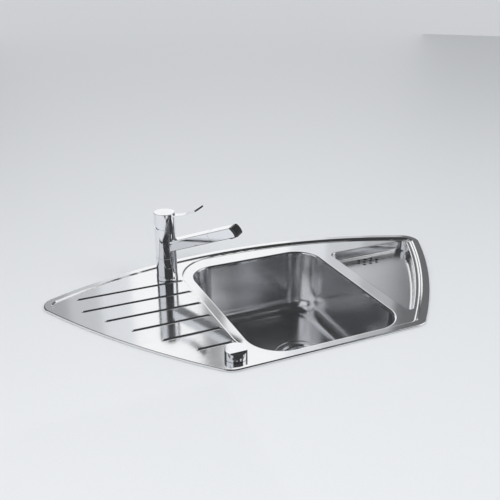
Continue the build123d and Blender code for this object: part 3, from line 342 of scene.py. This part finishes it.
blackLook = {
    "colour": (0.018, 0.018, 0.020),
    "light": (0.032, 0.032, 0.034),
    "dustColour": (0.09, 0.09, 0.09), "dust": 0.25,
    "grain": 1500.0, "depth": 0.00004, "roughness": 0.5, "coat": 0.0,
}
noseLook = {
    "colour": (0.012, 0.012, 0.013),
    "light": (0.02, 0.02, 0.021),
    "dustColour": (0.05, 0.05, 0.05), "dust": 0.1,
    "grain": 2600.0, "depth": 0.00001, "roughness": 0.24, "coat": 0.3,
}
greyLook = {
    "colour": (0.36, 0.37, 0.39),
    "light": (0.44, 0.45, 0.47),
    "dustColour": (0.5, 0.5, 0.5), "dust": 0.3,
    "grain": 1500.0, "depth": 0.00003, "roughness": 0.45, "coat": 0.0,
}
rubberLook = {
    "colour": (0.022, 0.022, 0.023),
    "light": (0.036, 0.036, 0.037),
    "dustColour": (0.12, 0.12, 0.12), "dust": 0.4,
    "grain": 2200.0, "depth": 0.00005, "roughness": 0.75, "coat": 0.0,
}
blackPlastic = mouldedPart("blackPlastic", blackLook)
nosePlastic = mouldedPart("nosePlastic", noseLook)
greyPlastic = mouldedPart("greyPlastic", greyLook)
rubber = mouldedPart("rubber", rubberLook)

# the braid's two sets of wires cross at equal tilts to the hose, which leaves the tap at azimuth
hoseLook = {
    "colour": (0.62, 0.63, 0.65),
    "gap": (0.10, 0.10, 0.11),
    "wirePitch": 0.006912, "depth": 0.0003, "azimuth": -45.0, "tilt": 35.0, "sharpness": 2.0,
    "roughness": 0.5, "shine": -0.2,
}


def braidedHose(look):
    material, tree, shader = startMaterial("braidedHose", Metallic=1.0)
    place = addNode(tree, "ShaderNodeTexCoord", -1200, 0)
    weave = []
    for i, tilt in enumerate((look["tilt"], -look["tilt"])):
        turn = addNode(tree, "ShaderNodeMapping", -1000, -300 * i)
        turn.inputs["Rotation"].default_value = (0, math.radians(tilt), math.radians(-look["azimuth"]))
        tree.links.new(place.outputs["Object"], turn.inputs["Vector"])
        bands = addNode(tree, "ShaderNodeTexWave", -800, -300 * i, bands_direction="X", wave_profile="SIN")
        setInputs(bands, Scale=waveScale(look["wirePitch"]))
        tree.links.new(turn.outputs[0], bands.inputs["Vector"])
        weave.append(bands.outputs["Fac"])
    wires = mathNode(tree, "MAXIMUM", -560, 0, weave[0], weave[1])
    mask = mathNode(tree, "POWER", -380, 0, wires, look["sharpness"])
    colour = mixColours(tree, -200, 200, mask, look["gap"], look["colour"])
    tree.links.new(colour, shader.inputs["Base Color"])
    spread = mathNode(tree, "MULTIPLY", -380, -200, mask, look["shine"])
    rough = mathNode(tree, "ADD", -200, -200, spread, look["roughness"])
    tree.links.new(rough, shader.inputs["Roughness"])
    addBump(tree, shader, mask, look["depth"])
    return material


hoseBraid = braidedHose(hoseLook)

# one finish for each material slot of the record
finishes = {
    "deck_steel": deckSteel,
    "bowl_steel": bowlSteel,
    "clamp_steel": zincSteel,
    "tap_chrome": chrome,
    "tap_brass": brass,
    "black_plastic": blackPlastic,
    "nose_black": nosePlastic,
    "grey_plastic": greyPlastic,
    "seal_rubber": rubber,
    "hose_grey": hoseBraid,
}
for part in frame["record"]["subparts"]:
    for slot in nodes[part["node"]].material_slots:
        slot.material = finishes[part["material_slot"]]
print("finishes on", len(nodes), "parts")

# the worktop is the floor of the scene, with the real cut-out under the rim seal
worktop = {
    "reach": 20.0,
    "drop": 0.0004,
    "colour": (0.80, 0.81, 0.82),
    "speck": (0.74, 0.75, 0.765),
    "grain": 420.0,
    "roughness": 0.55,
}
# what counts as the seal's underside: faces that look down, no higher than this, with long edge loops
seal = {"merge": 1e-6, "down": -0.9, "highest": 0.0005, "fewestPoints": 20}


def sealInnerEdge():
    mesh = bmesh.new()
    mesh.from_mesh(nodes["rim_seal"].data)
    bmesh.ops.remove_doubles(mesh, verts=mesh.verts, dist=seal["merge"])
    down = [f for f in mesh.faces if f.normal.z < seal["down"]]
    under = {f for f in down if f.calc_center_median().z < seal["highest"]}
    edges = [e for e in mesh.edges if sum(f in under for f in e.link_faces) == 1]
    loops = []
    while edges:
        edge = edges.pop()
        chain = [edge.verts[0], edge.verts[1]]
        while chain[-1] is not chain[0]:
            step = next((e for e in edges if chain[-1] in e.verts), None)
            if step is None:
                break
            edges.remove(step)
            chain.append(step.other_vert(chain[-1]))
        loops.append([v.co.copy() for v in chain[:-1]])
    mesh.free()
    long = [loop for loop in loops if len(loop) > seal["fewestPoints"]]
    return min(long, key=lambda loop: max(p.x for p in loop))


def buildWorktop(setup):
    mesh = bmesh.new()
    reach, level = setup["reach"], -setup["drop"]
    rings = [
        [Vector((x * reach, y * reach, level)) for x, y in ((-1, -1), (1, -1), (1, 1), (-1, 1))],
        [Vector((p.x, p.y, level)) for p in sealInnerEdge()],
    ]
    edges = []
    for ring in rings:
        corners = [mesh.verts.new(p) for p in ring]
        edges += [mesh.edges.new((corners[i - 1], corners[i])) for i in range(len(corners))]
    bmesh.ops.triangle_fill(mesh, use_beauty=True, edges=edges)
    data = bpy.data.meshes.new("worktop")
    mesh.to_mesh(data)
    mesh.free()
    board = bpy.data.objects.new("worktop", data)
    scene.collection.objects.link(board)
    material, tree, shader = startMaterial("worktopSurface", Roughness=setup["roughness"])
    place = addNode(tree, "ShaderNodeTexCoord", -700, 0)
    specks = addNode(tree, "ShaderNodeTexNoise", -500, 0)
    setInputs(specks, Scale=setup["grain"], Detail=2.0)
    tree.links.new(place.outputs["Object"], specks.inputs["Vector"])
    colour = mixColours(tree, -200, 0, specks.outputs["Fac"], setup["colour"], setup["speck"])
    tree.links.new(colour, shader.inputs["Base Color"])
    data.materials.append(material)


buildWorktop(worktop)
print("worktop cut and laid")

# the room: plain white to the camera, in reflections and through glass, dimmer and cooler as a light
room = {"colour": (0.95, 0.97, 1.0), "level": 0.72, "seen": 1.0}


def lightRoom(setup):
    world = bpy.data.worlds.new("studioRoom")
    scene.world = world
    world.use_nodes = True
    tree = world.node_tree
    tree.nodes.clear()
    out = addNode(tree, "ShaderNodeOutputWorld", 500, 0)
    path = addNode(tree, "ShaderNodeLightPath", -500, 200)
    rays = [path.outputs[f"Is {kind} Ray"] for kind in ("Camera", "Glossy", "Transmission")]
    direct = mathNode(tree, "MAXIMUM", -200, 200, rays[0], rays[1])
    seen = mathNode(tree, "MAXIMUM", 0, 200, direct, rays[2])
    soft = addNode(tree, "ShaderNodeBackground", 0, 0)
    setInputs(soft, Color=(*setup["colour"], 1), Strength=setup["level"])
    plain = addNode(tree, "ShaderNodeBackground", 0, -200)
    setInputs(plain, Color=(1, 1, 1, 1), Strength=setup["seen"])
    mix = addNode(tree, "ShaderNodeMixShader", 260, 0)
    tree.links.new(seen, mix.inputs[0])
    tree.links.new(soft.outputs[0], mix.inputs[1])
    tree.links.new(plain.outputs[0], mix.inputs[2])
    tree.links.new(mix.outputs[0], out.inputs["Surface"])


lightRoom(room)

# the middle of the set, which the lamps aim at and the panels stand round
middle = Vector((0.0, 0.2, 0.0))

lamps = {
    "keyLamp": {
        "place": (-1.6, -1.2, 2.4),
        "size": (1.4, 1.4), "power": 36.0, "colour": (1.0, 0.99, 0.97),
    },
    "fillLamp": {
        "place": (1.9, -1.4, 1.9),
        "size": (1.6, 1.2), "power": 16.0, "colour": (0.95, 0.97, 1.0),
    },
}


# no lamp shows in a reflection: the panels and the room make those
def hangLamp(name, setup):
    light = bpy.data.lights.new(name, "AREA")
    light.shape = "RECTANGLE"
    light.size, light.size_y = setup["size"]
    light.energy = setup["power"]
    light.color = setup["colour"]
    lamp = bpy.data.objects.new(name, light)
    scene.collection.objects.link(lamp)
    lamp.location = setup["place"]
    lamp.visible_glossy = False
    aim = middle - lamp.location
    lamp.rotation_mode = "QUATERNION"
    lamp.rotation_quaternion = aim.to_track_quat("-Z", "Y")


for name, setup in lamps.items():
    hangLamp(name, setup)
print("lamps hung")

# panels on a ring round the set, seen only in reflections: what isn't covered stays white
panels = {
    "panelFront": {"headings": (-140, -40), "rises": (0, 55), "shade": 0.05},
    "panelLeft": {"headings": (145, 220), "rises": (0, 55), "shade": 0.7},
    "panelBackLeft": {"headings": (92, 145), "rises": (0, 55), "shade": 0.08},
    "panelRight": {"headings": (0, 50), "rises": (0, 55), "shade": 0.16},
    "panelEndFar": {"headings": (50, 54), "rises": (18, 40), "shade": 0.48},
    "panelEndNear": {"headings": (54, 58), "rises": (18, 40), "shade": 0.64},
    "panelEndEdge": {"headings": (58, 62), "rises": (18, 40), "shade": 0.82},
    "panelTipEdge": {"headings": (80, 83.5), "rises": (18, 55), "shade": 0.8},
    "panelTipNear": {"headings": (83.5, 87), "rises": (18, 55), "shade": 0.6},
    "panelTipFar": {"headings": (87, 92), "rises": (18, 55), "shade": 0.42},
    "panelStripe": {"headings": (69.5, 72.0), "rises": (26, 55), "shade": 0.3},
    "panelCeiling": {"headings": (0, 360), "rises": (55, 90), "shade": 0.05},
}
ring = {"away": 6.0, "step": 5.0}


def showInReflections(name, mesh, shade):
    data = bpy.data.meshes.new(name)
    mesh.to_mesh(data)
    mesh.free()
    panel = bpy.data.objects.new(name, data)
    scene.collection.objects.link(panel)
    material, tree, shader = startMaterial(name, Roughness=1.0, Specular_IOR_Level=0.0)
    setInputs(shader, Base_Color=(0, 0, 0, 1))
    setInputs(shader, Emission_Color=(*room["colour"], 1), Emission_Strength=shade)
    data.materials.append(material)
    panel.visible_camera = False
    panel.visible_diffuse = False
    panel.visible_shadow = False
    panel.visible_transmission = False
    panel.visible_volume_scatter = False


def standPanel(name, setup):
    mesh = bmesh.new()
    spans = []
    for low, high in (setup["headings"], setup["rises"]):
        count = max(1, round((high - low) / ring["step"]))
        spans.append([math.radians(low + (high - low) * i / count) for i in range(count + 1)])
    rows = []
    for rise in spans[1]:
        row = []
        for heading in spans[0]:
            level = math.cos(rise)
            out = Vector((math.cos(heading) * level, math.sin(heading) * level, math.sin(rise)))
            row.append(mesh.verts.new(middle + out * ring["away"]))
        rows.append(row)
    for lower, upper in zip(rows, rows[1:]):
        for i in range(len(lower) - 1):
            mesh.faces.new((lower[i], lower[i + 1], upper[i + 1], upper[i]))
    showInReflections(name, mesh, setup["shade"])


for name, setup in panels.items():
    standPanel(name, setup)

# the dark floor of the kitchen, also only in reflections: a wedge, as seen from the tap's axis, that
# starts past the front of the sink
kitchen = {"level": 0.0004, "headings": (-136, -95), "edge": -0.02, "reach": 4.0, "shade": 0.01}


def layKitchenFloor(setup):
    joints = frame["record"]["behaviour"]["joints"]
    axis = next(joint["pos_m"] for joint in joints if joint["name"] == "spout_swivel")
    tap = Vector((axis[0], axis[1], setup["level"]))
    mesh = bmesh.new()
    near, far = [], []
    for heading in setup["headings"]:
        turn = math.radians(heading)
        along = Vector((math.cos(turn), math.sin(turn), 0))
        near.append(mesh.verts.new(tap + along * (setup["edge"] - tap.y) / along.y))
        far.append(mesh.verts.new(tap + along * setup["reach"]))
    mesh.faces.new((*near, *reversed(far)))
    showInReflections("kitchenFloor", mesh, setup["shade"])


layKitchenFloor(kitchen)
print("panels stood")
